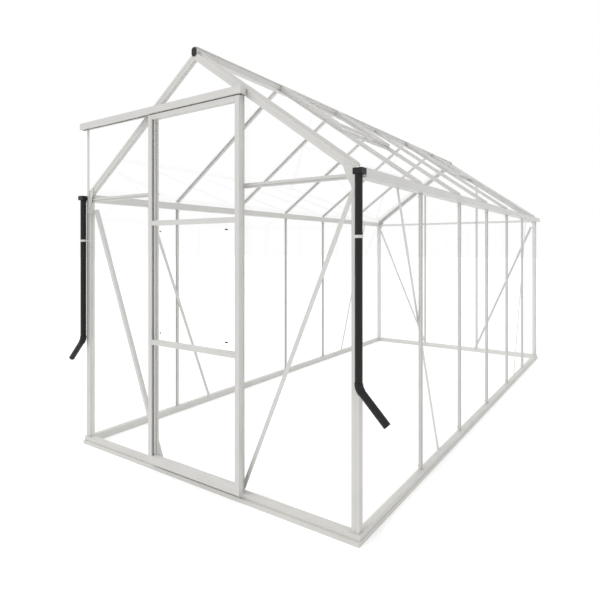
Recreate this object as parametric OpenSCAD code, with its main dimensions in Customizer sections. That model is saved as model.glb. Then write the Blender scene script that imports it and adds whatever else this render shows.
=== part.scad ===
// Glass greenhouse: an aluminium bar frame on a two-part base, glazed all round,
// with a span roof, two roof vents and one sliding door hung in front of the gable.
// X runs across, Y from the door end to the back, Z up. The ground is at Z = 0 and
// the origin is under the middle of the whole object. All sizes are in millimetres.

/* [House] */
// Spacing of the glazing bars, one pane wide
bay = 620; // [560:5:760]
// Number of bays along each side wall
side_bays = 6; // [5:1:8]
// Extra length from the last glazing bar to each corner post
end_margin = 23; // [5:1:60]
// Height of the roof's glazing plane at the wall line
eave_height = 1503; // [1300:1:1900]
// Rise of the roof from the wall line to the apex
roof_rise = 650; // [500:5:850]

/* [Base] */
// Height of the lower base rails
base_h = 20; // [15:1:40]
// How far the lower base rails stand out in front and behind
base_out = 30; // [28:1:45]
// How far the lower base rails stand out at the sides
base_side_out = 24; // [22:1:40]
// Height of the top of the sill above the ground
sill_top = 43; // [42:1:90]
// How far the sill stands out from the wall line
sill_out = 22; // [16:1:22]

/* [Frame sections] */
// Width of a glazing bar's flange
bar_w = 25; // [20:1:34]
// Thickness of the flanges and webs
wall_t = 2.5; // [2:0.1:3.5]
// Width of the bar's outer nib, between two panes
nib_w = 5; // [4:0.5:8]
// Depth of the wall bars behind the wall line
wall_bar_in = 8.5; // [8:0.5:9.5]
// Depth of the roof bars under the glazing plane
roof_bar_in = 12; // [9:0.5:16]
// Width of a corner post's side face
corner_w = 30; // [28:1:36]
// Extra width of a corner post's gable face, towards the door
corner_extra = 5; // [0:1:12]
// Depth of the gable rafters' face, square to the roof
rafter_d = 34; // [30:1:46]
// Height of the tie rails across the gables
tie_h = 22; // [18:1:36]
// Width of the ridge bar
ridge_w = 24; // [20:1:36]
// Height of the ridge bar
ridge_h = 46; // [44:1:60]
// Width of the flat diagonal braces
brace_w = 20; // [14:1:28]
// Thickness of the flat braces and gusset plates
brace_t = 3; // [2:0.5:4]
// Depth of the gable braces' inward leg
brace_leg = 20; // [12:1:24]

/* [Glazing] */
// Thickness of the glass
glass_t = 3; // [3:0.5:4]
// Room between a pane's edge and the nib beside it
pane_gap = 2.5; // [1:0.5:4]

/* [Roof vents] */
// Length of each vent down the slope
vent_len = 535; // [400:5:650]
// Width of the vent's frame members
vent_bar_w = 20; // [16:1:26]
// Height of the vent's frame members
vent_bar_h = 18; // [14:1:22]

/* [Gutters and downpipes] */
// Inside width of the gutter channel
gutter_w = 38; // [34:1:50]
// Height of the gutter's outer face
gutter_h = 37; // [32:1:44]
// How far the gutter's underside lies below the roof's glazing plane
gutter_drop = 52; // [48:1:70]
// Outer radius of the downpipes
pipe_r = 15.5; // [14:0.5:16]
// Wall thickness of the downpipes
pipe_t = 2; // [1.5:0.5:3]
// Height where each downpipe starts to bend outwards
pipe_bend_z = 645; // [400:5:900]
// Bend radius of the pipe's centre line
pipe_bend_r = 50; // [40:1:80]
// Length of the slanted spout
spout_len = 155; // [80:5:250]
// Height of the clips that hold the pipes to the corner posts
clip_z = 1212; // [900:1:1300]

/* [Door] */
// How much wider than one bay the door is
door_extra_w = 30; // [20:1:60]
// Offset of the closed door's middle from the middle of the gable
door_offset = 13; // [0:1:15]
// Height of the door's lower edge
door_bottom = 43; // [35:1:60]
// Thickness of the door frame
door_t = 25; // [20:1:30]
// Width of the door's stiles
stile_w = 27; // [24:1:40]
// Height of the top, cross and middle rails
rail_h = 25; // [20:1:35]
// Height of the bottom rail
bottom_rail_h = 42; // [30:1:60]
// Height of the underside of the door track
track_z = 1876; // [1700:1:1880]
// Height of the door track
track_h = 36; // [34:1:45]
// Depth of the door track
track_d = 36; // [34:1:44]

/* [Hidden] */

metal = [0.83, 0.83, 0.81];
clear_glass = [0.86, 0.94, 0.94, 0.3];
black = [0.16, 0.16, 0.17];

// Fitting room between separate pieces that bear on each other.
fit = 0.5;
// Safely larger than the whole object, for cutting shapes.
big = 20000;

// Plan: wall lines are the centre lines of the posts.
half_w = 3 * bay / 2;
jamb_x = bay / 2;
wall_len = side_bays * bay + 2 * end_margin;

// Section of a glazing bar, measured outwards from the wall line.
shelf_out = 6.5;
nib_out = 12.5;
bulb_w = 10;
bulb_h = 6;
glass_in = shelf_out + fit;
glass_mid = glass_in + glass_t / 2;

// The inner face of the sills, the eave beams and the tie rails.
frame_in = 10;
corner_half = corner_w / 2;
corner_in = corner_half + corner_extra;
groove = 1;

// Door depths in front of the wall line.
door_back = max(sill_out + 5, corner_half + 12);
door_front = door_back + door_t;
door_mid = (door_back + door_front) / 2;
track_back = door_mid - track_d / 2;
track_front = door_mid + track_d / 2;

// The whole object is centred on Y = 0 between its track and its rear base rail.
front_y = -(wall_len + base_out - track_front) / 2;
back_y = front_y + wall_len;
middle_y = front_y + wall_len / 2;

// Eaves.
gutter_z = eave_height - gutter_drop;
gutter_top = gutter_z + gutter_h;
eave_beam_out = 7;
gutter_t = 3;
gutter_edge = 4;
gutter_out = eave_beam_out + gutter_w + gutter_t;

// Roof.
pitch = atan(roof_rise / half_w);
apex_z = eave_height + roof_rise;
slope_len = half_w / cos(pitch);
rafter_drop = rafter_d;
rafter_nib_in = 9;
rafter_foot_in = 6;
rafter_root = 0.2;
rafter_groove = 3;
rafter_t = corner_half - nib_out - fit;
rafter_out = 3.5;
shelf_z = shelf_out - wall_t;
glass_over_gutter = 20;
ridge_cap_w = ridge_w + 10;
ridge_cap_h = 4;
ridge_z = apex_z - 24;
ridge_side = ridge_w / 2 + fit;

// Roof vents: the bays they lie over, counted from the door, and their place on the slope.
vent_bays = [1, 4];
vent_z = nib_out + fit;
vent_top = ridge_side / cos(pitch);
vent_glass_z = vent_z + 8;

// Ties, braces and gussets.
tie_z = gutter_z;
tie_end = max(half_w - corner_in + 2,
    half_w - (rafter_drop / cos(pitch) + tie_z + tie_h - eave_height + fit) / tan(pitch));
brace_in = frame_in + fit;
gable_brace_foot = [jamb_x - 10, sill_top - 8];
gable_brace_room = [half_w - corner_in - fit - brace_w / 2, tie_z - 50];
gable_brace_run = gable_brace_room - gable_brace_foot;
gable_brace_lean = atan2(gable_brace_run[0], gable_brace_run[1]);
gable_brace_top = gable_brace_room + [brace_w / 2 * (1 - cos(gable_brace_lean)), 0];
wall_brace_foot = [930, sill_top - 8];
wall_brace_top = [392, gutter_z + 10];
gusset_drop = 10;
gusset_depth = 110;
gusset_reach = 58;
gusset_nose = 26;
gusset_round = 81;

// Door.
door_w = bay + door_extra_w;
door_x0 = door_offset - door_w / 2;
door_gap = 5;
door_top = track_z - door_gap;
pane_square = bay - 10;
mid_rail_z = 668;
cross_rail_z = mid_rail_z + pane_square + 13;
track_wall = 2.5;
track_slot = 14;
track_left = -half_w - 15;
track_right = door_offset + door_w / 2 + 13;
wheel_r = 11;
wheel_t = 10.5;
hanger_t = 4;
wheel_side_gap = 0.3;
wheel_roll_gap = 0.4;
hanger_w = 40;
hanger_inset = 90;
hanger_x = [door_x0 + hanger_inset, door_x0 + door_w - hanger_inset];
wheel_z = track_z + track_wall + wheel_roll_gap + wheel_r;

// The strut that holds the track's free end, and the blocks behind the track.
strut_x = 1 - half_w;
strut_w = 20;
strut_low = gutter_z + 27;
block_w = 18;

// Rainwater.
outlet_x = half_w + 5;
outlet_top = gutter_top - 2;
outlet_h = 25;
pipe_x = half_w + corner_half + 8;
pipe_front = corner_half + fit + pipe_r;
spout_tilt = 45;
elbow_lip = 2;
clip_h = 12;
clip_t = 1.7;
clip_room = 0.3;
cap_t = 3;

function bar_y(i) = i == 0 ? front_y : i == side_bays ? back_y : front_y + end_margin + i * bay;
function rafter_under_z(x, drop) = eave_height + (half_w - abs(x)) * tan(pitch) - drop / cos(pitch);

// ---------- Helpers ----------

// Section of a glazing bar: X across, Y outwards, "depth" behind the wall line.
module bar_section(depth) {
    flange = bar_w / 2;
    web = wall_t / 2;
    nib = nib_w / 2;
    bulb = bulb_w / 2;
    polygon([[-bulb, -depth], [bulb, -depth], [bulb, bulb_h - depth], [web, bulb_h - depth],
        [web, shelf_z], [flange, shelf_z], [flange, shelf_out], [nib, shelf_out],
        [nib, nib_out], [-nib, nib_out], [-nib, shelf_out], [-flange, shelf_out],
        [-flange, shelf_z], [-web, shelf_z], [-web, bulb_h - depth], [-bulb, bulb_h - depth]]);
}

// Places a piece drawn with +Y outwards on one of the four walls.
module on_right(y) translate([half_w, y, 0]) rotate([0, 0, -90]) children();
module on_left(y) translate([-half_w, y, 0]) rotate([0, 0, 90]) children();
module on_front(x) translate([x, front_y, 0]) rotate([0, 0, 180]) children();
module on_back(x) translate([x, back_y, 0]) children();

// Places a piece on a roof slope: X down from the apex, Z square to the glass.
module on_slope(side) {
    mirror([side < 0 ? 1 : 0, 0, 0]) translate([0, 0, apex_z]) rotate([0, pitch, 0]) children();
}

// Everything below a plane parallel to the roof, "drop" square below the wall line's glass.
module under_roof(drop) {
    low = rafter_under_z(half_w + 200, drop);
    rotate([90, 0, 0]) linear_extrude(big, center = true) polygon([
        [-half_w - 200, -10], [half_w + 200, -10], [half_w + 200, low],
        [0, rafter_under_z(0, drop)], [-half_w - 200, low]]);
}

// Keeps a rail's ends just clear of the rafters.
module under_rafters() {
    intersection() {
        children();
        under_roof(rafter_drop + fit / 2);
    }
}

// A box given by its two opposite corners.
module span(low, high) translate(low) cube(high - low);

// Repeats a piece on the other side of the house.
module both_sides() {
    children();
    mirror([1, 0, 0]) children();
}

// A flat strip between two points of a wall, against its inner face.
module strip(from, to) {
    run = to - from;
    translate([from[0], -brace_in - brace_t, from[1]])
        rotate([0, -atan2(run[1], run[0]), 0])
            translate([0, 0, -brace_w / 2]) cube([norm(run), brace_t, brace_w]);
}

// ---------- Base and sills ----------

// Extrudes a section (Y outwards, Z up) along a wall, about its middle.
module lengthwise(length) {
    rotate([90, 0, 90]) translate([0, 0, -length / 2]) linear_extrude(length) children();
}

module base_rail(length, out) lengthwise(length) translate([-frame_in, 0]) square([frame_in + out, base_h]);

module sill(length) {
    lengthwise(length) translate([-frame_in, base_h + fit])
        square([frame_in + sill_out, sill_top - base_h - fit]);
}

module base_end_rails() {
    length = 2 * (half_w + base_side_out);
    color(metal) {
        on_front(0) base_rail(length, base_out);
        on_back(0) base_rail(length, base_out);
    }
}

module base_side_rails() {
    length = wall_len - 2 * (frame_in + fit);
    color(metal) {
        on_left(middle_y) base_rail(length, base_side_out);
        on_right(middle_y) base_rail(length, base_side_out);
    }
}

module end_sills() {
    length = 2 * (half_w + sill_out);
    color(metal) {
        on_front(0) sill(length);
        on_back(0) sill(length);
    }
}

module side_sills() {
    length = wall_len - 2 * (frame_in + fit);
    color(metal) {
        on_left(middle_y) sill(length);
        on_right(middle_y) sill(length);
    }
}

// ---------- Posts and wall bars ----------

// A box with a groove down the middle of each outer face: its corner points to +X and -Y.
module corner_section() {
    half = groove / 2;
    face_x = (corner_half - corner_in) / 2;
    polygon([[-corner_in, -corner_half], [face_x - half, -corner_half],
        [face_x - half, groove - corner_half], [face_x + half, groove - corner_half],
        [face_x + half, -corner_half], [corner_half, -corner_half], [corner_half, -half],
        [corner_half - groove, -half], [corner_half - groove, half], [corner_half, half],
        [corner_half, corner_half], [-corner_in, corner_half]]);
}

// A corner post: its gable face runs on past the eave beam's end, up to the rafter.
module corner_post() {
    low = sill_top + fit;
    high = gutter_z - fit;
    linear_extrude(high - low) corner_section();
    translate([-corner_in, -corner_half, high - low - groove])
        cube([corner_in + rafter_out, rafter_t, gutter_drop]);
}

module corner_posts() {
    color(metal) intersection() {
        both_sides() {
            translate([half_w, front_y, sill_top + fit]) corner_post();
            translate([half_w, back_y, sill_top + fit]) mirror([0, 1, 0]) corner_post();
        }
        under_roof(rafter_drop + fit);
    }
}

module wall_bar() {
    low = sill_top + fit;
    translate([0, 0, low]) linear_extrude(gutter_z - fit - low) bar_section(wall_bar_in);
}

module left_wall_bars() color(metal) for (i = [1 : side_bays - 1]) on_left(bar_y(i)) wall_bar();

module right_wall_bars() color(metal) for (i = [1 : side_bays - 1]) on_right(bar_y(i)) wall_bar();

module gable_post() {
    translate([0, 0, sill_top + fit]) linear_extrude(apex_z) bar_section(wall_bar_in);
}

module front_gable_posts() {
    color(metal) intersection() {
        union() for (x = [-jamb_x, jamb_x]) on_front(x) gable_post();
        under_roof(rafter_drop + fit);
    }
}

module back_gable_posts() {
    color(metal) intersection() {
        union() for (x = [-jamb_x, jamb_x]) on_back(x) gable_post();
        under_roof(rafter_drop + fit);
    }
}

// ---------- Rails across the gables ----------

// A tie rail: a flat bar with a nib along its middle, between the panes.
module tie(from_x, to_x, z, height) {
    middle = z + height / 2;
    span([from_x, -frame_in, z], [to_x, shelf_z, z + height]);
    span([from_x, shelf_z, middle - nib_w / 2], [to_x, nib_out, middle + nib_w / 2]);
}

module front_tie_rails() {
    inner = jamb_x + bar_w / 2 + fit;
    color(metal) under_rafters() on_front(0) {
        tie(inner, tie_end, tie_z, tie_h);
        tie(-tie_end, -inner, tie_z, tie_h);
    }
}

module back_tie_rails() {
    inner = jamb_x + bar_w / 2 + fit;
    color(metal) under_rafters() on_back(0) {
        tie(inner, tie_end, tie_z, tie_h);
        tie(-tie_end, -inner, tie_z, tie_h);
        tie(fit - jamb_x + bar_w / 2, jamb_x - bar_w / 2 - fit, tie_z, tie_h);
    }
}

module door_header() {
    inner = jamb_x - bar_w / 2 - fit;
    color(metal) under_rafters() on_front(0) tie(-inner, inner, track_z, rail_h);
}

// ---------- Eaves ----------

// Eave beam and gutter in one section: X outwards from the wall line. The beam's top
// is pitched like the roof, and carries the roof bars.
module gutter_section() {
    floor_z = gutter_z + gutter_t;
    beam_top = function(x) rafter_under_z(half_w + x, roof_bar_in + fit);
    polygon([[-frame_in, gutter_z], [gutter_out - gutter_edge, gutter_z],
        [gutter_out, gutter_z + gutter_edge], [gutter_out, gutter_top],
        [gutter_out - gutter_t, gutter_top], [gutter_out - gutter_t, floor_z],
        [eave_beam_out, floor_z], [eave_beam_out, beam_top(eave_beam_out)],
        [-frame_in, beam_top(-frame_in)]]);
}

module gutter() {
    translate([half_w, back_y + nib_out, 0])
        rotate([90, 0, 0]) linear_extrude(wall_len + 2 * nib_out) gutter_section();
}

module left_gutter() color(metal) mirror([1, 0, 0]) gutter();

module right_gutter() color(metal) gutter();

// ---------- Roof ----------

// The room between the ridge bar's side and a vertical line at the eave.
module roof_zone(side, out) {
    mirror([side < 0 ? 1 : 0, 0, 0])
        span([ridge_side, -big / 2, 0], [half_w + out, big / 2, apex_z + ridge_h]);
}

// A channel open to the inside, with a shelf and a nib for the roof glass: X is outwards.
module rafter_section() {
    face = corner_half;
    back = face - rafter_t;
    half = rafter_groove / 2;
    middle = -rafter_drop / 2;
    nib = nib_w - rafter_nib_in;
    polygon([[-rafter_foot_in, -rafter_drop], [face, -rafter_drop], [face, middle - half],
        [face - groove, middle - half], [face - groove, middle + half], [face, middle + half],
        [face, 0], [nib, 0], [nib, nib_out], [-rafter_nib_in, nib_out],
        [-rafter_nib_in, shelf_out], [-face, shelf_out], [-face, -wall_t], [back, -wall_t],
        [back, wall_t - rafter_drop], [-rafter_foot_in, wall_t - rafter_drop]]);
}

// Half of the front rafters, on the wall line. It meets the other half under the ridge
// bar, and only its face runs on past the eave beam.
module rafter() {
    difference() {
        intersection() {
            on_slope(1) translate([-100, 0, 0]) mirror([0, 1, 0]) rotate([90, 0, 90])
                linear_extrude(slope_len + 200) rafter_section();
            span([fit / 2, -big / 2, 0], [half_w + rafter_out, big / 2, apex_z + ridge_h]);
        }
        span([-1, -big / 2, ridge_z - fit], [ridge_side, big / 2, apex_z + ridge_h + 1]);
        span([half_w - frame_in - fit, rafter_t + rafter_root - corner_half, 0],
            [half_w + rafter_out + 1, corner_half + 1, rafter_under_z(half_w, corner_half)]);
    }
}

module front_rafters() color(metal) translate([0, front_y, 0]) both_sides() rafter();

module back_rafters() {
    color(metal) translate([0, back_y, 0]) mirror([0, 1, 0]) both_sides() rafter();
}

module roof_bars(side) {
    for (i = [1 : side_bays - 1]) intersection() {
        on_slope(side) translate([0, bar_y(i), 0]) rotate([90, 0, 90])
            linear_extrude(slope_len + 100) bar_section(roof_bar_in);
        roof_zone(side, eave_beam_out - fit);
    }
}

module left_roof_bars() color(metal) roof_bars(-1);

module right_roof_bars() color(metal) roof_bars(1);

module vent_cross_bars() {
    half = bar_w / 2 + fit;
    color(metal) for (i = vent_bays) on_slope(1)
        span([vent_len - vent_bar_w, bar_y(i) + half, shelf_out - vent_bar_h],
            [vent_len + wall_t, bar_y(i + 1) - half, shelf_out]);
}

module ridge_bar() {
    web = ridge_w / 2;
    cap = ridge_cap_w / 2;
    top = ridge_z + ridge_h;
    color(metal) translate([0, back_y + corner_half, 0]) rotate([90, 0, 0])
        linear_extrude(wall_len + corner_w) polygon([
            [-web, ridge_z], [web, ridge_z], [web, top - ridge_cap_h], [cap, top - ridge_cap_h],
            [cap, top], [-cap, top], [-cap, top - ridge_cap_h], [-web, top - ridge_cap_h]]);
}

// Moulded plates with cut corners that close the ridge bar's ends.
module ridge_end_caps() {
    cap = ridge_cap_w / 2;
    cut = 9;
    low = ridge_z + 1;
    high = ridge_z + ridge_h - 1;
    color(black) for (y = [front_y - corner_half - fit, back_y + corner_half + fit + cap_t])
        translate([0, y, 0]) rotate([90, 0, 0]) linear_extrude(cap_t) polygon([
            [cut - cap, low], [cap - cut, low], [cap, low + cut], [cap, high - cut],
            [cap - cut, high], [cut - cap, high], [-cap, high - cut], [-cap, low + cut]]);
}

// ---------- Braces and gussets ----------

// An angle between two points of a gable: a strip with an inward leg along its upper edge.
module angle(from, to) {
    run = to - from;
    strip(from, to);
    translate([from[0], -brace_in - brace_leg, from[1]])
        rotate([0, -atan2(run[1], run[0]), 0])
            translate([0, 0, brace_w / 2 - brace_t]) cube([norm(run), brace_leg, brace_t]);
}

module gable_brace_pair() both_sides() angle(gable_brace_foot, gable_brace_top);

module gable_braces() {
    color(metal) {
        on_front(0) gable_brace_pair();
        on_back(0) gable_brace_pair();
    }
}

// The braces of one side wall, set out from the corner posts at its two ends.
module wall_brace_pair() {
    half = wall_len / 2;
    strip([half - wall_brace_foot[0], wall_brace_foot[1]], [half - wall_brace_top[0], wall_brace_top[1]]);
    strip([wall_brace_foot[0] - half, wall_brace_foot[1]], [wall_brace_top[0] - half, wall_brace_top[1]]);
}

module wall_braces() {
    color(metal) {
        on_left(middle_y) wall_brace_pair();
        on_right(middle_y) wall_brace_pair();
    }
}

// A plate with a hollow inner edge, from the rafter down to the corner post.
module gusset() {
    top_z = rafter_under_z(half_w, gusset_drop);
    slant_z = top_z + gusset_reach * tan(pitch);
    translate([half_w, 0, 0]) rotate([90, 0, 0]) linear_extrude(brace_t) difference() {
        polygon([[-corner_half, top_z - gusset_depth], [0, top_z - gusset_depth], [0, top_z],
            [-gusset_reach, slant_z], [-gusset_reach, slant_z - gusset_nose]]);
        translate([-corner_half - gusset_round, top_z - gusset_depth + 12])
            circle(r = gusset_round, $fn = 96);
    }
}

module eave_gussets() {
    y = corner_half + fit;
    color(metal) both_sides() {
        translate([0, front_y - y, 0]) gusset();
        translate([0, back_y + y + brace_t, 0]) gusset();
    }
}

// ---------- Door track ----------

// A channel open at the bottom, with closed ends: the wheels run on its two lips.
module track_section() {
    half = track_d / 2;
    slot = track_slot / 2;
    polygon([[-half, 0], [-slot, 0], [-slot, track_wall], [track_wall - half, track_wall],
        [track_wall - half, track_h - track_wall], [half - track_wall, track_h - track_wall],
        [half - track_wall, track_wall], [slot, track_wall], [slot, 0], [half, 0],
        [half, track_h], [-half, track_h]]);
}

module door_track() {
    length = track_right - track_left;
    color(metal) translate([track_left, front_y - door_mid, track_z]) {
        rotate([90, 0, 90]) linear_extrude(length) track_section();
        for (x = [0, length - track_wall])
            span([x, -track_d / 2, 0], [x + track_wall, track_d / 2, track_h]);
    }
}

module track_brackets() {
    front = track_back - fit;
    strut_back = corner_half + fit + brace_t + fit;
    block_top = rafter_under_z(jamb_x + block_w / 2, rafter_drop) - fit;
    color(metal) {
        span([strut_x, front_y - front, strut_low],
            [strut_x + strut_w, front_y - strut_back, track_z + track_h]);
        for (x = [-jamb_x, jamb_x])
            span([x - block_w / 2, front_y - front, track_z + 2],
                [x + block_w / 2, front_y - nib_out - fit, block_top]);
    }
}

// ---------- Glass ----------

module upright_pane(x0, x1, z0, z1) span([x0, glass_in, z0], [x1, glass_in + glass_t, z1]);

module wall_panes() {
    edge = nib_w / 2 + pane_gap;
    end = corner_half + fit;
    for (i = [0 : side_bays - 1]) {
        y0 = i == 0 ? front_y + end : bar_y(i) + edge;
        y1 = i == side_bays - 1 ? back_y - end : bar_y(i + 1) - edge;
        upright_pane(y0 - middle_y, y1 - middle_y, sill_top + fit, gutter_z - fit);
    }
}

module left_wall_glass() color(clear_glass) on_left(middle_y) wall_panes();

module right_wall_glass() color(clear_glass) on_right(middle_y) wall_panes();

// The panes of one gable; the middle bay starts at "middle_z", over a door or the tie.
module gable_panes(middle_z) {
    edge = nib_w / 2 + pane_gap;
    tie_low = tie_z + tie_h / 2 - edge;
    tie_high = tie_z + tie_h / 2 + edge;
    for (side = [-1, 1]) mirror([side < 0 ? 1 : 0, 0, 0]) {
        upright_pane(jamb_x + edge, half_w - corner_in - fit, sill_top + fit, tie_low);
        upright_pane(jamb_x + edge, tie_end, tie_high, apex_z);
    }
    upright_pane(edge - jamb_x, jamb_x - edge, middle_z, ridge_z - fit);
}

module front_gable_glass() {
    color(clear_glass) intersection() {
        on_front(0) gable_panes(track_z + rail_h / 2 + nib_w / 2 + pane_gap);
        under_roof(rafter_drop + fit);
    }
}

module back_gable_glass() {
    edge = nib_w / 2 + pane_gap;
    color(clear_glass) intersection() {
        on_back(0) union() {
            gable_panes(tie_z + tie_h / 2 + edge);
            upright_pane(edge - jamb_x, jamb_x - edge, sill_top + fit, tie_z + tie_h / 2 - edge);
        }
        under_roof(rafter_drop + fit);
    }
}

module roof_panes(side, open_bays) {
    edge = nib_w / 2 + pane_gap;
    end = rafter_nib_in + pane_gap;
    for (i = [0 : side_bays - 1]) {
        x0 = len(search(i, open_bays)) > 0 ? vent_len - vent_bar_w / 2 : vent_top;
        y0 = i == 0 ? front_y + end : bar_y(i) + edge;
        y1 = i == side_bays - 1 ? back_y - end : bar_y(i + 1) - edge;
        on_slope(side) span([x0, y0, glass_in], [slope_len + glass_over_gutter, y1, glass_in + glass_t]);
    }
}

module left_roof_glass() color(clear_glass) roof_panes(-1, []);

module right_roof_glass() color(clear_glass) roof_panes(1, vent_bays);

// ---------- Roof vents ----------

module vent_outline(i, grow, z0, z1) {
    span([vent_top + grow, bar_y(i) + grow, z0], [vent_len - grow, bar_y(i + 1) - grow, z1]);
}

module roof_vent_frames() {
    color(metal) for (i = vent_bays) on_slope(1) difference() {
        vent_outline(i, 0, vent_z, vent_z + vent_bar_h);
        vent_outline(i, vent_bar_w, vent_z - 1, vent_z + vent_bar_h + 1);
    }
}

module roof_vent_glass() {
    color(clear_glass) for (i = vent_bays) on_slope(1)
        vent_outline(i, vent_bar_w + fit, vent_glass_z, vent_glass_z + glass_t);
}

// ---------- Rainwater ----------

module gutter_outlets() {
    back = nib_out + fit;
    front = pipe_front + pipe_r + 2;
    color(black) both_sides()
        span([outlet_x, front_y - front, outlet_top - outlet_h],
            [half_w + gutter_out, front_y - back, outlet_top]);
}

module gutter_end_caps() {
    y = back_y + nib_out + fit;
    color(black) both_sides()
        span([outlet_x, y, gutter_z], [half_w + gutter_out, y + cap_t, gutter_top]);
}

// A straight tube that stands on the origin.
module tube(length, outer, inner) {
    difference() {
        cylinder(h = length, r = outer, $fn = 48);
        translate([0, 0, -1]) cylinder(h = length + 2, r = inner, $fn = 48);
    }
}

// The straight pipe and, past the elbow, the slanted spout that it drains from.
module downpipe() {
    top_z = outlet_top - outlet_h - fit;
    inner = pipe_r - pipe_t;
    color(black) translate([pipe_x, front_y - pipe_front, pipe_bend_z]) {
        translate([0, 0, fit]) tube(top_z - pipe_bend_z - fit, pipe_r, inner);
        translate([pipe_bend_r * (1 - cos(spout_tilt)), 0, -pipe_bend_r * sin(spout_tilt)])
            rotate([0, 180 - spout_tilt, 0]) translate([0, 0, fit]) tube(spout_len, pipe_r, inner);
    }
}

module left_downpipe() mirror([1, 0, 0]) downpipe();

module right_downpipe() downpipe();

// Moulded bends, a little thicker than the pipes that they join.
module downpipe_elbows() {
    color(black) both_sides() translate([pipe_x + pipe_bend_r, front_y - pipe_front, pipe_bend_z])
        rotate([90, 0, 0]) rotate([0, 0, 180]) rotate_extrude(angle = spout_tilt, $fn = 96)
            translate([pipe_bend_r, 0]) difference() {
                circle(r = pipe_r + elbow_lip, $fn = 48);
                circle(r = pipe_r - pipe_t, $fn = 48);
            }
}

// A ring round the pipe with a tab against the corner post's face.
module pipe_clips() {
    grip = pipe_r + clip_room;
    color(metal) both_sides() translate([pipe_x, front_y - pipe_front, clip_z]) difference() {
        union() {
            cylinder(h = clip_h, r = grip + clip_t, $fn = 48);
            span([-22, 5, 0], [-8, pipe_front - corner_half - fit, clip_h]);
        }
        translate([0, 0, -1]) cylinder(h = clip_h + 2, r = grip, $fn = 48);
    }
}

// ---------- Sliding door ----------

module door_stiles() {
    color(metal) for (x = [door_x0, door_x0 + door_w - stile_w])
        span([x, front_y - door_front, door_bottom], [x + stile_w, front_y - door_back, door_top]);
}

module door_rail(z, height) {
    span([door_x0 + stile_w + fit, front_y - door_front, z],
        [door_x0 + door_w - stile_w - fit, front_y - door_back, z + height]);
}

module door_rails() {
    color(metal) {
        door_rail(door_bottom, bottom_rail_h);
        door_rail(mid_rail_z, rail_h);
        door_rail(cross_rail_z, rail_h);
        door_rail(door_top - rail_h, rail_h);
    }
}

module door_pane(z0, z1) {
    span([door_x0 + stile_w + fit, front_y - door_mid - glass_t / 2, z0 + fit],
        [door_x0 + door_w - stile_w - fit, front_y - door_mid + glass_t / 2, z1 - fit]);
}

module door_glass() {
    color(clear_glass) {
        door_pane(door_bottom + bottom_rail_h, mid_rail_z);
        door_pane(mid_rail_z + rail_h, cross_rail_z);
        door_pane(cross_rail_z + rail_h, door_top - rail_h);
    }
}

module door_hangers() {
    color(metal) for (x = hanger_x)
        span([x - hanger_w / 2, front_y - door_mid - hanger_t / 2, door_top + fit],
            [x + hanger_w / 2, front_y - door_mid + hanger_t / 2, wheel_z + 6]);
}

module door_wheels() {
    side = hanger_t / 2 + wheel_side_gap;
    color(black) for (x = hanger_x, turn = [-1, 1])
        translate([x, front_y - door_mid + turn * (side + wheel_t / 2), wheel_z])
            rotate([90, 0, 0]) cylinder(h = wheel_t, r = wheel_r, center = true, $fn = 48);
}

base_end_rails();
base_side_rails();
end_sills();
side_sills();
corner_posts();
left_wall_bars();
right_wall_bars();
front_gable_posts();
back_gable_posts();
front_tie_rails();
back_tie_rails();
door_header();
left_gutter();
right_gutter();
front_rafters();
back_rafters();
left_roof_bars();
right_roof_bars();
vent_cross_bars();
ridge_bar();
ridge_end_caps();
gable_braces();
wall_braces();
eave_gussets();
door_track();
track_brackets();
left_wall_glass();
right_wall_glass();
front_gable_glass();
back_gable_glass();
left_roof_glass();
right_roof_glass();
roof_vent_frames();
roof_vent_glass();
gutter_outlets();
gutter_end_caps();
left_downpipe();
right_downpipe();
downpipe_elbows();
pipe_clips();
door_stiles();
door_rails();
door_glass();
door_hangers();
door_wheels();
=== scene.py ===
# %% [markdown]
# # A small span-roof greenhouse
# The house is a frame of extruded aluminium bars with clear glass held between them.
# All of its bars, panes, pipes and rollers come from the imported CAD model, which is
# loaded as a fixed frame. This lesson adds what a maker adds last: the finishes, the
# nuts and bolts, the door's gaskets and clips, a floor, soft light and a camera.

# %% Load the frame
import math

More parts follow.
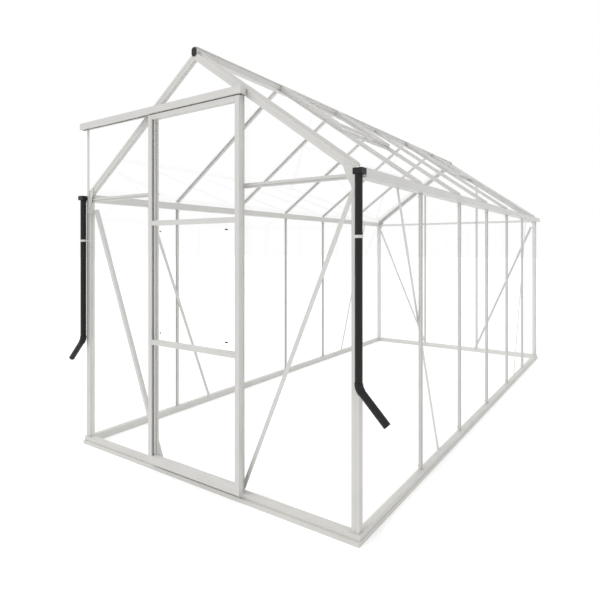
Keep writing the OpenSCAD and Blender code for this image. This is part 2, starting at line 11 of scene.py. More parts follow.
import bmesh
import bpy
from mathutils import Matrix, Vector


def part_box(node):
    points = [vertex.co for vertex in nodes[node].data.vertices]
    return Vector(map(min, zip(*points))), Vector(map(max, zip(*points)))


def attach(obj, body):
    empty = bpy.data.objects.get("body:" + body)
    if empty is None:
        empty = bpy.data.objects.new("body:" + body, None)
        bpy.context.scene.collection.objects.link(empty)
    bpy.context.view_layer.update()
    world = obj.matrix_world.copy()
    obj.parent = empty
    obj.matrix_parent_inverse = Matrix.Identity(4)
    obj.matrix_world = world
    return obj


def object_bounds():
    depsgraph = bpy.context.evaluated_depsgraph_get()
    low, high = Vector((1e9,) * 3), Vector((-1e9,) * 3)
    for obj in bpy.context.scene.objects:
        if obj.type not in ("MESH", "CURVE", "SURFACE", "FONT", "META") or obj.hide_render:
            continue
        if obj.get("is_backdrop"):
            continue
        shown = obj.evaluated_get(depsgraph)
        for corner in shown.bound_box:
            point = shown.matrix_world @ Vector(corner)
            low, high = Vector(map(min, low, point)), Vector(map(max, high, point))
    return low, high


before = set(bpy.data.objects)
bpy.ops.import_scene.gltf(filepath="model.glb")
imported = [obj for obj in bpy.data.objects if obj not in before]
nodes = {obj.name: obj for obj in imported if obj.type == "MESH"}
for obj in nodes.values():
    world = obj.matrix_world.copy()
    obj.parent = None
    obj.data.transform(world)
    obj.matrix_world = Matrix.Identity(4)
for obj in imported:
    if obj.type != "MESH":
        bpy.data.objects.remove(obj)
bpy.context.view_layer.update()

# %% [markdown]
# ## Three helpers for every finish
# Blender's sockets want linear colours, while a paint card gives sRGB ones, so one
# function turns a hex value to linear. The next adds a node to a tree, sets it and links
# it, which keeps each material down to a few readable lines. The last starts a material
# with nothing in its tree but the output.

# %% Colour and node helpers
def linear(hex_code):
    """An sRGB hex colour as linear red, green, blue and a full alpha."""
    parts = [int(hex_code[i:i + 2], 16) / 255 for i in (1, 3, 5)]
    return [p / 12.92 if p <= 0.04045 else ((p + 0.055) / 1.055) ** 2.4 for p in parts] + [1.0]


def add_node(tree, kind, settings=None, inputs=None, links=None):
    """Adds a node: settings are its properties, inputs its values, links its sources."""
    made = tree.nodes.new(kind)
    for name, value in (settings or {}).items():
        setattr(made, name, value)
    for name, value in (inputs or {}).items():
        made.inputs[name].default_value = value
    for name, source in (links or {}).items():
        tree.links.new(source, made.inputs[name])
    return made


def new_material(name):
    """A material with an empty tree, and its output node."""
    material = bpy.data.materials.new(name)
    material.use_nodes = True
    material.node_tree.nodes.clear()
    return material, material.node_tree, add_node(material.node_tree, "ShaderNodeOutputMaterial")


print("mid grey in linear:", [round(v, 3) for v in linear("#808080")])

# %% [markdown]
# ## Mill-finish aluminium
# The bars are pushed hot through a steel die and left unpainted. The die leaves faint
# lines along each bar, and air gives the metal a thin cloudy oxide, so it looks satin
# and pale, and never like a mirror. The lines are really under a millimetre apart. They
# are drawn about 6 mm apart so that they show at the distance a house is seen from.
# Polished metal is fully metallic. Here the oxide scatters most of the light, so only a
# small share is, and the grey stays even from every side. Each bar runs its own way, so
# a Mapping node turns the pattern to follow it.

# %% Make the aluminium
DIE_LINE = 0.006
DIE_LINE_LENGTH = 0.9
OXIDE_CLOUD = 0.16
CLOUD_SHARE = 0.45
STREAK_LOW = 0.3
STREAK_HIGH = 0.7
ROUGHER = 0.08
SMOOTHER = 0.04
METAL_SHARE = 0.15


def mill_aluminium(name, pale, dark, turn=(0, 0, 0), both_slopes=False, roughness=0.36):
    """Satin extruded aluminium; turn swings a bar's own direction onto Z, where its lines run."""
    material, tree, output = new_material(name)
    place = add_node(tree, "ShaderNodeTexCoord").outputs["Object"]
    if both_slopes:
        apart = add_node(tree, "ShaderNodeSeparateXYZ", links={0: place})
        side = add_node(tree, "ShaderNodeMath", {"operation": "ABSOLUTE"},
                        links={0: apart.outputs["X"]})
        place = add_node(tree, "ShaderNodeCombineXYZ", links={
            "X": side.outputs[0], "Y": apart.outputs["Y"], "Z": apart.outputs["Z"]}).outputs[0]
    turned = add_node(tree, "ShaderNodeMapping", {"vector_type": "POINT"},
                      {"Rotation": turn}, {"Vector": place})
    drawn = add_node(tree, "ShaderNodeMapping", {"vector_type": "POINT"},
                     {"Scale": (1 / DIE_LINE, 1 / DIE_LINE, 1 / DIE_LINE_LENGTH)},
                     {"Vector": turned.outputs[0]})
    lines = add_node(tree, "ShaderNodeTexNoise", inputs={"Scale": 1, "Detail": 3, "Roughness": 0.6},
                     links={"Vector": drawn.outputs[0]})
    cloud = add_node(tree, "ShaderNodeTexNoise", inputs={
        "Scale": 1 / OXIDE_CLOUD, "Detail": 4, "Roughness": 0.55}, links={"Vector": place})
    both = add_node(tree, "ShaderNodeMix", {"data_type": "FLOAT"}, {"Factor": CLOUD_SHARE},
                    {"A": lines.outputs["Fac"], "B": cloud.outputs["Fac"]})
    share = add_node(tree, "ShaderNodeMapRange", inputs={
        "From Min": STREAK_LOW, "From Max": STREAK_HIGH}, links={"Value": both.outputs[0]})
    colour = add_node(tree, "ShaderNodeMix", {"data_type": "RGBA"},
                      links={"Factor": share.outputs[0]})
    colour.inputs["A"].default_value = linear(dark)
    colour.inputs["B"].default_value = linear(pale)
    rough = add_node(tree, "ShaderNodeMapRange", inputs={
        "To Min": roughness + ROUGHER, "To Max": roughness - SMOOTHER},
        links={"Value": cloud.outputs["Fac"]})
    bump = add_node(tree, "ShaderNodeBump", inputs={"Strength": 0.12, "Distance": 0.0004},
                    links={"Height": lines.outputs["Fac"]})
    shader = add_node(tree, "ShaderNodeBsdfPrincipled", inputs={"Metallic": METAL_SHARE}, links={
        "Base Color": colour.outputs["Result"], "Roughness": rough.outputs[0],
        "Normal": bump.outputs[0]})
    tree.links.new(shader.outputs[0], output.inputs[0])
    return material


frame_upright = mill_aluminium("mill_aluminium_upright_bars", "#DBDAD7", "#D0CFCC")
print("upright bars:", frame_upright.name, "nodes:", len(frame_upright.node_tree.nodes))

# %% [markdown]
# ## The ways that the bars run
# The uprights run along Z already. The gutters, the ridge and the long sides run along Y,
# and the tie rails and the ends along X, so a quarter turn brings each of them onto Z.
# The rafters and the roof bars fall at the roof's pitch. The two slopes mirror each
# other, so the left one is folded onto the right one, and a single turn serves both. The
# base is splashed by rain, so it is a little duller than the bars.

# %% Turn the aluminium to each way
ROOF_RISE = 0.650
ROOF_HALF_SPAN = 0.930
QUARTER_TURN = math.pi / 2
ALONG_X = (0, QUARTER_TURN, 0)
ALONG_Y = (QUARTER_TURN, 0, 0)
DOWN_THE_ROOF = (0, QUARTER_TURN - math.atan2(ROOF_RISE, ROOF_HALF_SPAN), 0)
BASE_ROUGHNESS = 0.4
frame_lengthwise = mill_aluminium(
    "mill_aluminium_lengthwise_bars", "#DBDAD7", "#D0CFCC", turn=ALONG_Y)
frame_crosswise = mill_aluminium(
    "mill_aluminium_cross_bars", "#DBDAD7", "#D0CFCC", turn=ALONG_X)
frame_sloping = mill_aluminium(
    "mill_aluminium_sloping_bars", "#DBDAD7", "#D0CFCC", turn=DOWN_THE_ROOF, both_slopes=True)
base_lengthwise = mill_aluminium(
    "mill_aluminium_base_sides", "#DBDAD6", "#D0CFCB", turn=ALONG_Y, roughness=BASE_ROUGHNESS)
base_crosswise = mill_aluminium(
    "mill_aluminium_base_ends", "#DBDAD6", "#D0CFCB", turn=ALONG_X, roughness=BASE_ROUGHNESS)
print("aluminium finishes:", len([m for m in bpy.data.materials if "aluminium" in m.name]))

# %% [markdown]
# ## Rolled strip
# The wall braces, gussets and pipe clips are flat rolled strip, and the gable braces are
# light angles of the same metal. Rolling leaves a soft, even grain with no die lines, so
# one plain noise is enough for them. The nuts share the recipe in a darker grey.

# %% Make the strip
ROLLED_GRAIN = 0.02


def rolled_strip(name, pale, dark):
    """Rolled aluminium with a soft mottled grain and no direction."""
    material, tree, output = new_material(name)
    place = add_node(tree, "ShaderNodeTexCoord").outputs["Object"]
    grain = add_node(tree, "ShaderNodeTexNoise", inputs={"Scale": 1 / ROLLED_GRAIN, "Detail": 5},
                     links={"Vector": place})
    colour = add_node(tree, "ShaderNodeMix", {"data_type": "RGBA"},
                      links={"Factor": grain.outputs["Fac"]})
    colour.inputs["A"].default_value = linear(dark)
    colour.inputs["B"].default_value = linear(pale)
    rough = add_node(tree, "ShaderNodeMapRange", inputs={"To Min": 0.46, "To Max": 0.36},
                     links={"Value": grain.outputs["Fac"]})
    bump = add_node(tree, "ShaderNodeBump", inputs={"Strength": 0.08, "Distance": 0.0003},
                    links={"Height": grain.outputs["Fac"]})
    shader = add_node(tree, "ShaderNodeBsdfPrincipled", inputs={"Metallic": METAL_SHARE}, links={
        "Base Color": colour.outputs["Result"], "Roughness": rough.outputs[0],
        "Normal": bump.outputs[0]})
    tree.links.new(shader.outputs[0], output.inputs[0])
    return material


strip_metal = rolled_strip("rolled_aluminium_strip", "#DAD9D6", "#CFCECB")
nut_metal = rolled_strip("bright_aluminium_nuts", "#CFCFCC", "#BFBFBC")
print("strip finishes:", strip_metal.name, nut_metal.name)

# %% [markdown]
# ## Horticultural float glass
# The panes are 3 mm clear float glass, poured flat on molten tin, so both faces are as
# smooth as a still pond. Square on it all but vanishes, and at a low angle it takes on
# some of the white around it. A pane this thin hardly bends what is behind it, so it is
# made of a Transparent and a Glossy shader, mixed by glass's own Fresnel curve. The
# share of gloss has a top, because a full mirror at the lowest angles would hide the
# roof bars under a white sky. Only the face where a ray enters a pane reflects. The far
# face's fainter gloss is left out.

# %% Make the glass
FLOAT_GLASS_IOR = 1.5
GLOSS_TOP = 0.2


def float_glass(name, tint):
    """Clear flat glass: clear square on, with a light gloss at low angles."""
    material, tree, output = new_material(name)
    mirror = add_node(tree, "ShaderNodeFresnel", inputs={"IOR": FLOAT_GLASS_IOR})
    facing = add_node(tree, "ShaderNodeNewGeometry")
    entering = add_node(tree, "ShaderNodeMath", {"operation": "SUBTRACT"}, {0: 1.0},
                        {1: facing.outputs["Backfacing"]})
    topped = add_node(tree, "ShaderNodeMath", {"operation": "MINIMUM"}, {1: GLOSS_TOP},
                      {0: mirror.outputs[0]})
    share = add_node(tree, "ShaderNodeMath", {"operation": "MULTIPLY"},
                     links={0: topped.outputs[0], 1: entering.outputs[0]})
    clear = add_node(tree, "ShaderNodeBsdfTransparent", inputs={"Color": linear(tint)})
    gloss = add_node(tree, "ShaderNodeBsdfGlossy", inputs={"Color": linear("#FFFFFF"),
                                                           "Roughness": 0.0})
    mixed = add_node(tree, "ShaderNodeMixShader", links={
        0: share.outputs[0], 1: clear.outputs[0], 2: gloss.outputs[0]})
    tree.links.new(mixed.outputs[0], output.inputs[0])
    return material


glass = float_glass("clear_horticultural_float_glass", "#FFFFFF")
print("glass:", glass.name)

# %% [markdown]
# ## Black plastics
# The outlets, pipes, end caps and rollers are moulded or drawn from black plastic with
# carbon in it against the sun. It is dark and a little glossy, and its skin is faintly
# uneven where it shrank in the mould. The gaskets are softer black rubber, with no gloss.

# %% Make the plastics
PLASTIC_IOR = 1.49
PLASTIC_SPECULAR = 0.3
PLASTIC_SPREAD = 0.06


def black_plastic(name, deep, worn, roughness, skin):
    """Black moulded plastic or rubber; skin is the size of its unevenness in metres."""
    material, tree, output = new_material(name)
    place = add_node(tree, "ShaderNodeTexCoord").outputs["Object"]
    mottle = add_node(tree, "ShaderNodeTexNoise", inputs={"Scale": 1 / skin, "Detail": 4},
                      links={"Vector": place})
    colour = add_node(tree, "ShaderNodeMix", {"data_type": "RGBA"},
                      links={"Factor": mottle.outputs["Fac"]})
    colour.inputs["A"].default_value = linear(deep)
    colour.inputs["B"].default_value = linear(worn)
    rough = add_node(tree, "ShaderNodeMapRange", inputs={
        "To Min": roughness - PLASTIC_SPREAD, "To Max": roughness + PLASTIC_SPREAD},
        links={"Value": mottle.outputs["Fac"]})
    bump = add_node(tree, "ShaderNodeBump", inputs={"Strength": 0.15, "Distance": 0.0005},
                    links={"Height": mottle.outputs["Fac"]})
    shader = add_node(
        tree, "ShaderNodeBsdfPrincipled",
        inputs={"IOR": PLASTIC_IOR, "Specular IOR Level": PLASTIC_SPECULAR},
        links={"Base Color": colour.outputs["Result"], "Roughness": rough.outputs[0],
               "Normal": bump.outputs[0]})
    tree.links.new(shader.outputs[0], output.inputs[0])
    return material


pipe_plastic = black_plastic("black_drawn_polypropylene", "#151515", "#1B1B1B", 0.5, 0.03)
moulded_plastic = black_plastic("black_moulded_nylon", "#141414", "#1A1A1A", 0.45, 0.012)
gasket_rubber = black_plastic("black_extruded_rubber", "#161616", "#1E1E1E", 0.7, 0.008)
print("plastics:", pipe_plastic.name, moulded_plastic.name, gasket_rubber.name)

# %% [markdown]
# ## Finish every CAD piece
# Each aluminium node of the frame gets the finish that its bars run with: upright,
# lengthwise, crosswise or down the slope. The strip, glass and plastics have no direction,
# so each of those is given out as it is.

# %% Assign the finishes
FINISHES = (
    (base_crosswise, ("base_end_rails", "end_sills")),
    (base_lengthwise, ("base_side_rails", "side_sills")),
    (frame_upright, (
        "corner_posts", "left_wall_bars", "right_wall_bars", "front_gable_posts",
        "back_gable_posts", "door_stiles", "track_brackets", "door_hangers")),
    (frame_crosswise, (
        "front_tie_rails", "back_tie_rails", "door_header", "door_track", "door_rails")),
    (frame_lengthwise, (
        "left_gutter", "right_gutter", "ridge_bar", "vent_cross_bars", "roof_vent_frames")),
    (frame_sloping, ("front_rafters", "back_rafters", "left_roof_bars", "right_roof_bars")),
    (strip_metal, ("gable_braces", "wall_braces", "eave_gussets", "pipe_clips")),
    (glass, (
        "left_wall_glass", "right_wall_glass", "front_gable_glass", "back_gable_glass",
        "left_roof_glass", "right_roof_glass", "roof_vent_glass", "door_glass")),
    (pipe_plastic, ("left_downpipe", "right_downpipe", "downpipe_elbows")),
    (moulded_plastic, ("ridge_end_caps", "gutter_outlets", "gutter_end_caps", "door_wheels")),
)
finished = set()
for finish, names in FINISHES:
    for name in names:
        nodes[name].data.materials.clear()
        nodes[name].data.materials.append(finish)
        finished.add(name)
print("finished:", len(finished), "left over:", sorted(set(nodes) - finished))

# %% [markdown]
# ## Light through the panes
# Light from the sky crosses many panes on its way to the floor, and a ray may only cross
# a few of them before it is given up as dark. Clear glass casts next to no shadow, so the
# panes are left out of the shadows, and the floor behind several of them is lit almost as
# it is in the open.

# %% Let the light through the panes
glazing = [name for name in nodes if name.endswith("_glass")]
for name in glazing:
    nodes[name].visible_shadow = False
print("glass nodes that cast no shadow:", len(glazing))

# %% [markdown]
# ## A tree that sets hardware on points
# A house like this is held together by dozens of small nuts and bolt heads, all alike.
# They could be copied by hand, but a tree keeps one shape and one list of places. It
# repeats a hexagon on a washer at every point of a cloud, and turns each one to face the
# way that its point says. The cloud is a mesh of loose vertices that carries the
# direction as an attribute named facing.

# %% Build the hardware tree
NUT_SIDES = 6
WASHER_SIDES = 16


def add_input(tree, name, kind, value):
    """Adds a named input to a Geometry Nodes tree, with its first value if it has one."""
    made = tree.interface.new_socket(name=name, in_out="INPUT", socket_type=kind)
    if value is not None:
        made.default_value = value


def hardware_tree():
    """Nuts on washers: a hexagon and a thin disc on each point, along its facing."""
    tree = bpy.data.node_groups.new("nuts_on_points", "GeometryNodeTree")
    add_input(tree, "Points", "NodeSocketGeometry", None)
    add_input(tree, "Nut Radius", "NodeSocketFloat", 0.005)
    add_input(tree, "Nut Height", "NodeSocketFloat", 0.004)
    add_input(tree, "Washer Radius", "NodeSocketFloat", 0.0065)
    add_input(tree, "Washer Height", "NodeSocketFloat", 0.0012)
    add_input(tree, "Material", "NodeSocketMaterial", None)
    tree.interface.new_socket(name="Geometry", in_out="OUTPUT", socket_type="NodeSocketGeometry")
    given = add_node(tree, "NodeGroupInput")
    result = add_node(tree, "NodeGroupOutput")
    shapes = []
    for sides, radius, height in ((NUT_SIDES, "Nut Radius", "Nut Height"),
                                  (WASHER_SIDES, "Washer Radius", "Washer Height")):
        shape = add_node(tree, "GeometryNodeMeshCylinder", {"fill_type": "NGON"},
                         {"Vertices": sides},
                         {"Radius": given.outputs[radius], "Depth": given.outputs[height]})
        middle = add_node(tree, "ShaderNodeMath", {"operation": "MULTIPLY"}, {1: 0.5},
                          {0: given.outputs[height]})
        if radius == "Nut Radius":
            middle = add_node(tree, "ShaderNodeMath", {"operation": "ADD"}, links={
                0: middle.outputs[0], 1: given.outputs["Washer Height"]})
        lift = add_node(tree, "ShaderNodeCombineXYZ", links={"Z": middle.outputs[0]})
        moved = add_node(tree, "GeometryNodeTransform", links={
            "Geometry": shape.outputs["Mesh"], "Translation": lift.outputs[0]})
        shapes.append(moved.outputs[0])
    joined = add_node(tree, "GeometryNodeJoinGeometry")
    for shape in shapes:
        tree.links.new(shape, joined.inputs[0])
    facing = add_node(tree, "GeometryNodeInputNamedAttribute", {"data_type": "FLOAT_VECTOR"},
                      {"Name": "facing"})
    turned = add_node(tree, "FunctionNodeAlignRotationToVector", {"axis": "Z"},
                      links={"Vector": facing.outputs[0]})
    points = add_node(tree, "GeometryNodeMeshToPoints", {"mode": "VERTICES"},
                      links={"Mesh": given.outputs["Points"]})
    placed = add_node(tree, "GeometryNodeInstanceOnPoints", links={
        "Points": points.outputs[0], "Instance": joined.outputs[0], "Rotation": turned.outputs[0]})
    real = add_node(tree, "GeometryNodeRealizeInstances", links={"Geometry": placed.outputs[0]})
    coated = add_node(tree, "GeometryNodeSetMaterial", links={
        "Geometry": real.outputs[0], "Material": given.outputs["Material"]})
    tree.links.new(coated.outputs[0], result.inputs[0])
    return tree


nuts_on_points = hardware_tree()
print("tree inputs:", [i.name for i in nuts_on_points.interface.items_tree if i.in_out == "INPUT"])

# %% [markdown]
# ## From a tree to a plain mesh
# A tree works as a modifier on some object. Its inputs are set by their identifiers, the
# object is evaluated once, and the result is kept as a mesh of its own. That mesh then
# moves with the house or the door like any other piece, with nothing live left on it.

# %% Grow a piece from a tree
def grow(name, source, tree, values, body):
    """Runs a tree on a source mesh, keeps the result as a plain mesh, and rides it on a body."""
    maker = bpy.data.objects.new(name + "_maker", source)
    bpy.context.scene.collection.objects.link(maker)
    modifier = maker.modifiers.new("grow", "NODES")
    modifier.node_group = tree
    for item in tree.interface.items_tree:
        if item.in_out == "INPUT" and item.name in values:
            modifier[item.identifier] = values[item.name]
    evaluated = maker.evaluated_get(bpy.context.evaluated_depsgraph_get())
    mesh = bpy.data.meshes.new_from_object(evaluated)
    mesh.name = name
    bpy.data.objects.remove(maker)
    piece = bpy.data.objects.new(name, mesh)
    bpy.context.scene.collection.objects.link(piece)
    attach(piece, body)
    print(name, "vertices:", len(mesh.vertices), "faces:", len(mesh.polygons))


# %% [markdown]
# ## Where the nuts go
# A nut sits on the inner bead of each wall bar at the sill and at the eave, and on each
# gable post where the tie rail crosses. The places are measured from the corners of the
# CAD boxes, so they follow the frame if it grows.

# %% Collect the nuts' places
WALL_BARS = 5
BAR_W = 0.025
END_IN = 0.014


def cloud(name, rows):
    """A mesh of loose vertices, each with its facing."""
    mesh = bpy.data.meshes.new(name)
    mesh.from_pydata([place for place, facing in rows], [], [])
    directions = mesh.attributes.new("facing", "FLOAT_VECTOR", "POINT")
    for point, (place, facing) in zip(directions.data, rows):
        point.vector = facing
    return mesh


def wall_rows(node, side):
    """The nuts at the foot and head of each bar of a side wall."""
    low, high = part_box(node)
    inner = low.x if side > 0 else high.x
    step = (high.y - low.y - BAR_W) / (WALL_BARS - 1)
    return [((inner, low.y + BAR_W / 2 + i * step, z), (-side, 0, 0))
            for i in range(WALL_BARS) for z in (low.z + END_IN, high.z - END_IN)]


def tie_rows():
    """The nuts where the tie rails meet the gable posts."""
    low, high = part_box("back_tie_rails")
    rows = []
    for node, inwards in (("front_gable_posts", 1), ("back_gable_posts", -1)):
        near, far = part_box(node)
        inner = far.y if inwards > 0 else near.y
        for x in (near.x + BAR_W / 2, far.x - BAR_W / 2):
            rows.append(((x, inner, (low.z + high.z) / 2), (0, inwards, 0)))
    return rows


house_rows = wall_rows("left_wall_bars", -1) + wall_rows("right_wall_bars", 1) + tie_rows()
grow("frame_nuts", cloud("frame_nut_points", house_rows), nuts_on_points,
     {"Material": nut_metal}, "house")

# %% [markdown]
# ## Where the gussets' bolts go
# Each gusset has one bolt in the arm that runs up the rafter and one in the leg that runs
# down the post. Both are measured in from the corners of the gussets' box.

# %% Collect the gussets' bolts
ARM_IN = 0.049
ARM_DOWN = 0.019
LEG_IN = 0.0075
LEG_UP = 0.013


def gusset_rows():
    """Two bolt heads on each gusset: one on its rafter arm, one on its post leg."""
    low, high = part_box("eave_gussets")
    rows = []
    for side in (-1, 1):
        for y, out in ((low.y, -1), (high.y, 1)):
            rows.append(((side * (high.x - ARM_IN), y, high.z - ARM_DOWN), (0, out, 0)))
            rows.append(((side * (high.x - LEG_IN), y, low.z + LEG_UP), (0, out, 0)))
    return rows


grow("gusset_bolts", cloud("gusset_bolt_points", gusset_rows()), nuts_on_points,
     {"Nut Radius": 0.004, "Nut Height": 0.0012, "Washer Radius": 0.0055,
      "Washer Height": 0.0006, "Material": strip_metal}, "house")

# %% [markdown]
# ## The door's own screws
# The door's rails are held by small screws driven through the inner side of each stile,
# so these ride with the door. The rails are one node, and the heights of its corners
# pair off into the lower and upper edge of each rail.

# %% Place the door screws
STILE_W = 0.027
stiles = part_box("door_stiles")
rails = nodes["door_rails"]
heights = sorted({round(v.co.z, 4) for v in rails.data.vertices})
rail_middles = [(a + b) / 2 for a, b in zip(heights[0::2], heights[1::2])]
door_rows = [((x, stiles[1].y, z), (0, 1, 0)) for z in rail_middles
             for x in (stiles[0].x + STILE_W / 2, stiles[1].x - STILE_W / 2)]
grow("door_screws", cloud("door_screw_points", door_rows), nuts_on_points,
     {"Nut Radius": 0.0035, "Nut Height": 0.0018, "Washer Radius": 0.0045,
      "Washer Height": 0.0008, "Material": nut_metal}, "door")
print("rail middles:", [round(z, 3) for z in rail_middles])

# %% [markdown]
# ## The door's gaskets
# A black rubber bead is pushed in between each pane of the door and its stiles. It runs
# dead straight from rail to rail. A bead is a section that follows a line, so the tree
# turns a mesh of edges to curves and sweeps a small rectangle along them.

# %% Build the bead tree
def bead_tree():
    """A rectangular bead along every edge of the source mesh."""
    tree = bpy.data.node_groups.new("bead_on_lines", "GeometryNodeTree")
    add_input(tree, "Lines", "NodeSocketGeometry", None)
    add_input(tree, "Width", "NodeSocketFloat", 0.004)
    add_input(tree, "Depth", "NodeSocketFloat", 0.004)
    add_input(tree, "Material", "NodeSocketMaterial", None)
    tree.interface.new_socket(name="Geometry", in_out="OUTPUT", socket_type="NodeSocketGeometry")
    given = add_node(tree, "NodeGroupInput")
    result = add_node(tree, "NodeGroupOutput")
    lines = add_node(tree, "GeometryNodeMeshToCurve", links={"Mesh": given.outputs["Lines"]})
    section = add_node(tree, "GeometryNodeCurvePrimitiveQuadrilateral", {"mode": "RECTANGLE"},
                       links={"Width": given.outputs["Width"], "Height": given.outputs["Depth"]})
    swept = add_node(tree, "GeometryNodeCurveToMesh", inputs={"Fill Caps": True}, links={
        "Curve": lines.outputs[0], "Profile Curve": section.outputs[0]})
    real = add_node(tree, "GeometryNodeRealizeInstances", links={"Geometry": swept.outputs[0]})
    coated = add_node(tree, "GeometryNodeSetMaterial", links={
        "Geometry": real.outputs[0], "Material": given.outputs["Material"]})
    tree.links.new(coated.outputs[0], result.inputs[0])
    return tree


bead_on_lines = bead_tree()
print("bead tree:", bead_on_lines.name)

# %% [markdown]
# ## Where the beads run
# Each gap between two rails takes two beads, one beside each stile. They stop just short
# of the rails, and they lie a hair in front of the glass, because two faces in exactly
# the same place would flicker.

# %% Run the gaskets
BEAD_W = 0.003
BEAD_D = 0.003
BEAD_SHORT = 0.0005
OFF_GLASS = 0.0002
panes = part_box("door_glass")
gasket_y = panes[0].y - BEAD_D / 2 - OFF_GLASS
gaps = list(zip(heights[1::2], heights[2::2]))
corners, edges = [], []
for x in (stiles[0].x + STILE_W + BEAD_W / 2, stiles[1].x - STILE_W - BEAD_W / 2):
    for low, high in gaps:
        edges.append((len(corners), len(corners) + 1))
        corners += [(x, gasket_y, low + BEAD_SHORT), (x, gasket_y, high - BEAD_SHORT)]
gasket_lines = bpy.data.meshes.new("gasket_lines")
gasket_lines.from_pydata(corners, edges, [])
grow("door_gaskets", gasket_lines, bead_on_lines,
     {"Width": BEAD_W, "Depth": BEAD_D, "Material": gasket_rubber}, "door")

# %% [markdown]
# ## The pane clips
# The door's middle pane is held at its corners by four dark spring clips. Each is a
# narrow tongue that bears on the glass with a little heel turned up. The shape is bent
# sheet, so it is drawn as a short profile, swept across and given its thickness. Each
# step of the profile says how far along the tongue it is, from 0 to 1, and how far it
# stands off the glass in metres. Negative is towards the front of the house.

# %% Bend the clips
CLIP_IN = 0.061
CLIP_FOOT = 0.040
CLIP_HEAD = 0.031
CLIP_LONG = 0.014
CLIP_WIDE = 0.006
CLIP_THICK = 0.0012
CLIP_PROFILE = ((0.0, 0.0), (0.35, -0.0006), (0.75, -0.0006), (1.0, -0.0042))


def pane_clips():
    """Four bent tongues on the front of the door's middle pane."""
    made = bmesh.new()
    low, high = gaps[1]
    front = panes[0].y
    for x, side in ((stiles[0].x + STILE_W + CLIP_IN, 1), (stiles[1].x - STILE_W - CLIP_IN, -1)):
        for z in (low + CLIP_FOOT, high - CLIP_HEAD):
            rings = []
            for share, lift in CLIP_PROFILE:
                along = x + side * (share - 0.5) * CLIP_LONG
                y = front - CLIP_THICK + lift - OFF_GLASS
                rings.append([made.verts.new((along, y + dy, z + dz)) for dy, dz in (
                    (0, -CLIP_WIDE / 2), (CLIP_THICK, -CLIP_WIDE / 2),
                    (CLIP_THICK, CLIP_WIDE / 2), (0, CLIP_WIDE / 2))])
            for a, b in zip(rings, rings[1:]):
                for i in range(4):
                    made.faces.new((a[i], a[(i + 1) % 4], b[(i + 1) % 4], b[i]))
            made.faces.new(rings[0])
            made.faces.new(rings[-1])
    bmesh.ops.recalc_face_normals(made, faces=made.faces)
    mesh = bpy.data.meshes.new("pane_clips")
    made.to_mesh(mesh)
    made.free()
    mesh.materials.append(moulded_plastic)
    piece = bpy.data.objects.new("pane_clips", mesh)
    bpy.context.scene.collection.objects.link(piece)
    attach(piece, "door")
    return piece


clips = pane_clips()
print("clip faces:", len(clips.data.polygons))

# %% [markdown]
# ## Floor
# The house stands on a plain pale floor. It is a matt white that keeps the soft shadow
# of the frame. A little light of its own brings its colour up to the white of the air
# around it. Only the eye, gloss and glass see that light, and matt faces aren't lit by it.

# %% Lay the floor
FLOOR_HALF = 60.0
FLOOR_GLOW = 0.3
floor_mesh = bpy.data.meshes.new("floor")
floor_mesh.from_pydata([(-FLOOR_HALF, -FLOOR_HALF, 0), (FLOOR_HALF, -FLOOR_HALF, 0),
                        (FLOOR_HALF, FLOOR_HALF, 0), (-FLOOR_HALF, FLOOR_HALF, 0)],
                       [], [(0, 1, 2, 3)])
floor = bpy.data.objects.new("floor", floor_mesh)
bpy.context.scene.collection.objects.link(floor)
floor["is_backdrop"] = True


def seen_share(tree):
    """1 where a ray comes from the eye, from gloss or through glass, and else 0."""
    path = add_node(tree, "ShaderNodeLightPath")
    share = path.outputs["Is Camera Ray"]
    for name in ("Is Glossy Ray", "Is Transmission Ray"):
        share = add_node(tree, "ShaderNodeMath", {"operation": "MAXIMUM"}, links={
            0: share, 1: path.outputs[name]}).outputs[0]
    return share


def floor_paint():
    """Matt white studio floor, with the lift that makes it meet the background."""
    material, tree, output = new_material("matt_white_studio_floor")
    matt = add_node(tree, "ShaderNodeBsdfDiffuse", inputs={"Color": linear("#F2F2F2")})
    lift = add_node(tree, "ShaderNodeMath", {"operation": "MULTIPLY"}, {1: FLOOR_GLOW},
                    {0: seen_share(tree)})
    glow = add_node(tree, "ShaderNodeEmission", links={"Strength": lift.outputs[0]})
    both = add_node(tree, "ShaderNodeAddShader", links={0: matt.outputs[0], 1: glow.outputs[0]})
    tree.links.new(both.outputs[0], output.inputs[0])
    return material


floor.data.materials.append(floor_paint())
print("floor half size:", FLOOR_HALF, "m")

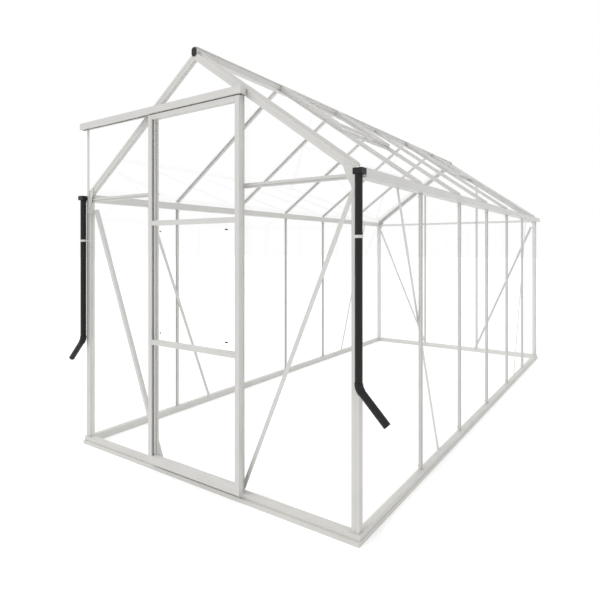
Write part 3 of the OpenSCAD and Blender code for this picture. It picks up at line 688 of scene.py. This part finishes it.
# %% [markdown]
# ## Light
# Soft daylight comes from everywhere, and one wide sun adds a gentle direction from the
# front left. The world is plain white to the eye, to gloss and through glass, and a
# little lower as a light, so that a colour renders about as it is written.

# %% Light the scene
SKY_LIGHT = 0.78
SUN_SPREAD = 35
SUN_TILT = 42
SUN_TURN = -35
world = bpy.data.worlds.new("studio_air")
bpy.context.scene.world = world
world.use_nodes = True
air = world.node_tree
air.nodes.clear()
level = add_node(air, "ShaderNodeMapRange", inputs={"To Min": SKY_LIGHT, "To Max": 1.0},
                 links={"Value": seen_share(air)})
sky = add_node(air, "ShaderNodeBackground", inputs={"Color": linear("#FFFFFF")},
               links={"Strength": level.outputs[0]})
add_node(air, "ShaderNodeOutputWorld", links={"Surface": sky.outputs[0]})

sun = bpy.data.lights.new("wide_sun", "SUN")
sun.energy = 0.8
sun.angle = math.radians(SUN_SPREAD)
sun_object = bpy.data.objects.new("wide_sun", sun)
sun_object.rotation_euler = (math.radians(SUN_TILT), 0, math.radians(SUN_TURN))
bpy.context.scene.collection.objects.link(sun_object)
print("sky", SKY_LIGHT, "sun", sun.energy)

# %% [markdown]
# ## Camera
# The camera stands at chest height, in front of the house and off to its right, and
# looks level across it, so that every upright stays upright. A small shift centres the
# house in the frame.

# %% Place the camera
CAMERA_PLACE = (1.8863, -3.5272, 1.1715)
CAMERA_LEVEL = 90
CAMERA_TURN = 31.979
camera = bpy.data.cameras.new("camera")
camera.sensor_width = 36.0
camera.lens = 28.80
camera.shift_x = -0.068
camera.shift_y = -0.086
camera_object = bpy.data.objects.new("camera", camera)
camera_object.location = CAMERA_PLACE
camera_object.rotation_euler = (math.radians(CAMERA_LEVEL), 0, math.radians(CAMERA_TURN))
bpy.context.scene.collection.objects.link(camera_object)
bpy.context.scene.camera = camera_object
bpy.context.scene.view_settings.view_transform = "Standard"
print("camera at", [round(v, 3) for v in camera_object.location])

# %% [markdown]
# ## The size of the finished house
# The box of the finished house is measured, with the floor left out.

# %% Measure the finished house
low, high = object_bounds()
